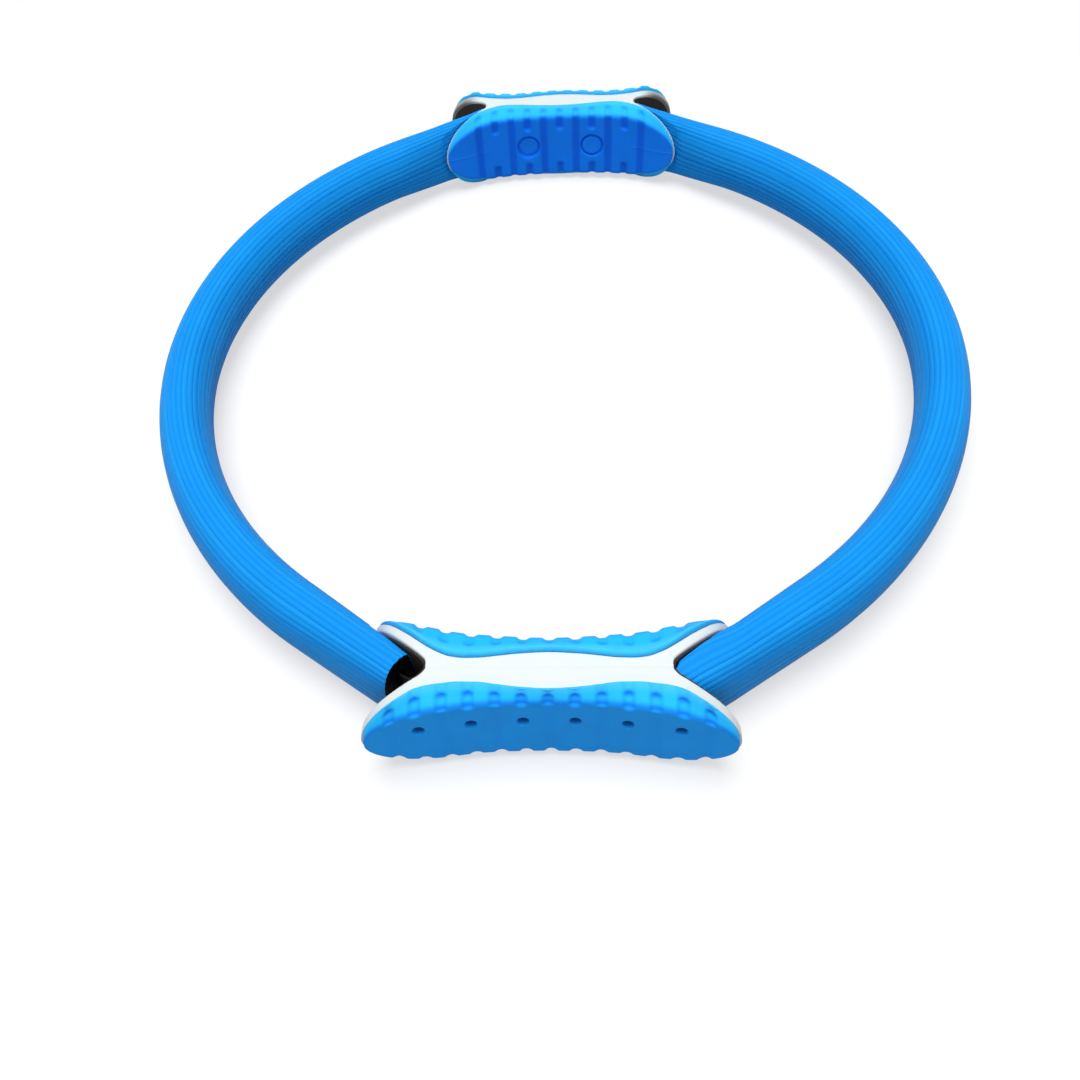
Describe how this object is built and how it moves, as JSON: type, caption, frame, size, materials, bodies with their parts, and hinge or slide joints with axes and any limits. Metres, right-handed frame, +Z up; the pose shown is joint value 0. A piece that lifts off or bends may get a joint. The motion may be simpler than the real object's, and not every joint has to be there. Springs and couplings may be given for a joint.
{
  "type": "pilates ring",
  "caption": "Springy exercise hoop of ribbed blue hose with facing white-framed grips padded inside and out; the grips squeeze together and spring back.",
  "frame": {"origin": "middle of the ring on the plane it lies on", "axes": "+Z up, square to the ring; +Y from the front handle to the back handle; +X to the right"},
  "size_m": [0.3802, 0.4298, 0.044],
  "materials": {
    "shell_white": "satin",
    "pad_blue": "matt",
    "sleeve_blue": "matt",
    "socket_black": "matt",
    "steel": "bright"
  },
  "bodies": {
    "back_handle": {"back_inner_shell": "shell_white", "back_outer_shell": "shell_white", "back_inner_pad": "pad_blue", "back_outer_pad": "pad_blue", "back_screws": "steel", "back_screw_caps": "pad_blue", "back_left_socket": "socket_black", "back_right_socket": "socket_black"},
    "front_handle": {"front_inner_shell": "shell_white", "front_outer_shell": "shell_white", "front_inner_pad": "pad_blue", "front_outer_pad": "pad_blue", "front_screws": "steel", "front_screw_caps": "pad_blue"},
    "left_bow": {"left_sleeve": "sleeve_blue", "left_main_leaf": "steel", "left_helper_leaf": "steel"},
    "right_bow": {"right_sleeve": "sleeve_blue", "right_main_leaf": "steel", "right_helper_leaf": "steel"},
    "left_front_end": {"front_left_socket": "socket_black"},
    "right_front_end": {"front_right_socket": "socket_black"}
  },
  "joints": [
    {"name": "squeeze", "type": "slide", "parent": "back_handle", "child": "front_handle", "axis": [0, 1, 0], "range_m": [-0.03, 0.1], "stiffness_N_per_m": 650, "deforming": ["left_sleeve", "right_sleeve", "left_main_leaf", "right_main_leaf", "left_helper_leaf", "right_helper_leaf"]},
    {"name": "left_spread", "type": "slide", "parent": "back_handle", "child": "left_bow", "axis": [-0.6763, 0.7367, 0], "range_m": [-0.0205, 0.068]},
    {"name": "right_spread", "type": "slide", "parent": "back_handle", "child": "right_bow", "axis": [0.6763, 0.7367, 0], "range_m": [-0.0205, 0.068]},
    {"name": "left_return", "type": "slide", "parent": "left_bow", "child": "left_front_end", "axis": [0.6763, 0.7367, 0], "range_m": [-0.0205, 0.068]},
    {"name": "right_return", "type": "slide", "parent": "right_bow", "child": "right_front_end", "axis": [-0.6763, 0.7367, 0], "range_m": [-0.0205, 0.068]}
  ],
  "couplings": [
    {"joint": "left_spread", "follows": "squeeze", "ratio": 0.67873},
    {"joint": "right_spread", "follows": "squeeze", "ratio": 0.67873},
    {"joint": "left_return", "follows": "squeeze", "ratio": 0.67873},
    {"joint": "right_return", "follows": "squeeze", "ratio": 0.67873}
  ]
}
